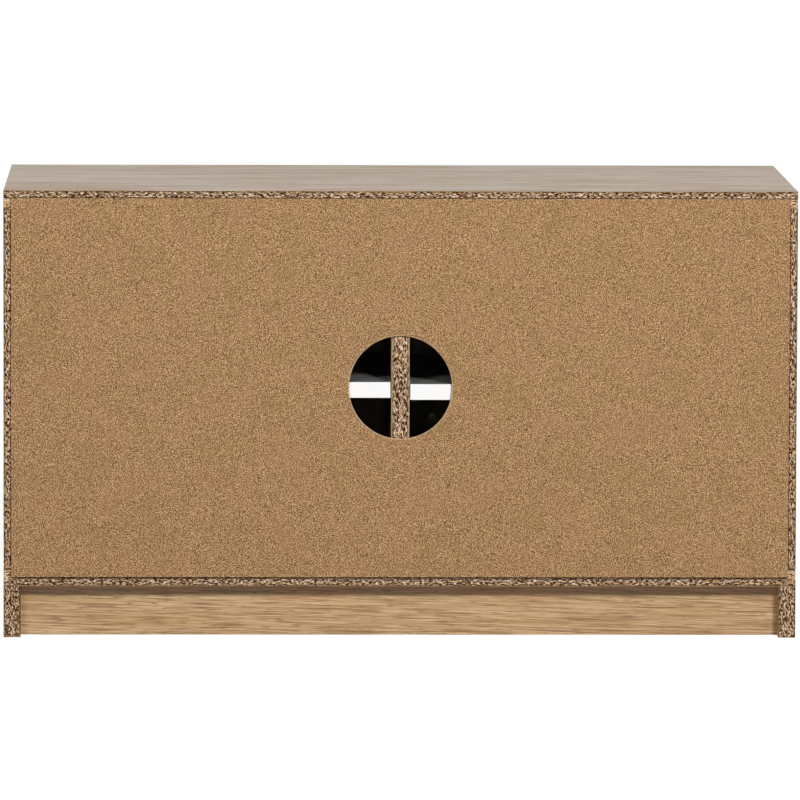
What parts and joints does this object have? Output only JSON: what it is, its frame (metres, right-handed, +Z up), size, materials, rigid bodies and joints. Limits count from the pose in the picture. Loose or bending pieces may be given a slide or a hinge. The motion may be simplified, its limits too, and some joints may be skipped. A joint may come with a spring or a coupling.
{
  "type": "media cabinet",
  "caption": "Low wood-effect media cabinet on a plinth: a divider, shelves, hinged doors, and a raw fibreboard back with a round cable outlet.",
  "frame": {"origin": "on the floor, under the centre of the whole object including the handles", "axes": "+X to the right of someone who stands in front of the doors, +Y to the rear (the fibreboard back faces +Y), +Z up"},
  "size_m": [0.8, 0.428, 0.452],
  "materials": {
    "oak_board": "oak-effect foil on chipboard, satin",
    "oak_band": "oak-effect edge band, satin",
    "hardboard": "raw brown fibreboard",
    "white_board": "white melamine-faced chipboard, satin",
    "grey_board": "grey melamine-faced chipboard, satin",
    "white_band": "white edge band, satin",
    "beech": "raw beech",
    "zinc": "zinc-plated",
    "steel": "nickel-plated steel",
    "handle_metal": "brushed",
    "white_plastic": "moulded",
    "clear_rubber": "translucent bumper"
  },
  "bodies": {
    "cabinet": {"top_panel": "oak_board", "bottom_panel": "oak_board", "side_left": "oak_board", "side_right": "oak_board", "divider": "oak_board", "back_panel": "hardboard", "top_edge_bands": "oak_band", "bottom_edge_bands": "oak_band", "carcass_front_bands": "oak_band", "plinth_left": "oak_board", "plinth_right": "oak_board", "plinth_front": "oak_board", "plinth_rear": "oak_board", "plinth_blocks": "beech", "plinth_block_screws": "zinc", "plinth_dowels": "beech", "shelf_left": "grey_board", "shelf_right": "grey_board", "shelf_left_bands": "white_band", "shelf_right_bands": "white_band", "shelf_pins": "steel", "carcass_dowels": "beech", "cam_bolts": "steel", "cam_locks": "zinc", "hinge_plates": "zinc", "hinge_plate_screws": "zinc", "hinge_arms": "steel", "hinge_arm_screws": "steel", "catch_housings": "white_plastic", "catch_magnets": "zinc", "catch_screws": "zinc"},
    "door_left": {"door_left": "white_board", "door_left_bands": "white_band", "hinge_cups_left": "steel", "hinge_pins_left": "steel", "cup_screws_left": "steel", "handle_left": "handle_metal", "handle_screws_left": "steel", "bumpers_left": "clear_rubber", "strike_left": "steel", "strike_screws_left": "steel"},
    "door_right": {"door_right": "white_board", "door_right_bands": "white_band", "hinge_cups_right": "steel", "hinge_pins_right": "steel", "cup_screws_right": "steel", "handle_right": "handle_metal", "handle_screws_right": "steel", "bumpers_right": "clear_rubber", "strike_right": "steel", "strike_screws_right": "steel"}
  },
  "joints": [
    {"name": "door_left_swing", "type": "hinge", "parent": "cabinet", "child": "door_left", "pos_m": [-0.3905, -0.177, 0.252], "axis": [0, 0, -1], "range_deg": [0, 95]},
    {"name": "door_right_swing", "type": "hinge", "parent": "cabinet", "child": "door_right", "pos_m": [0.3905, -0.177, 0.252], "axis": [0, 0, 1], "range_deg": [0, 95]}
  ]
}
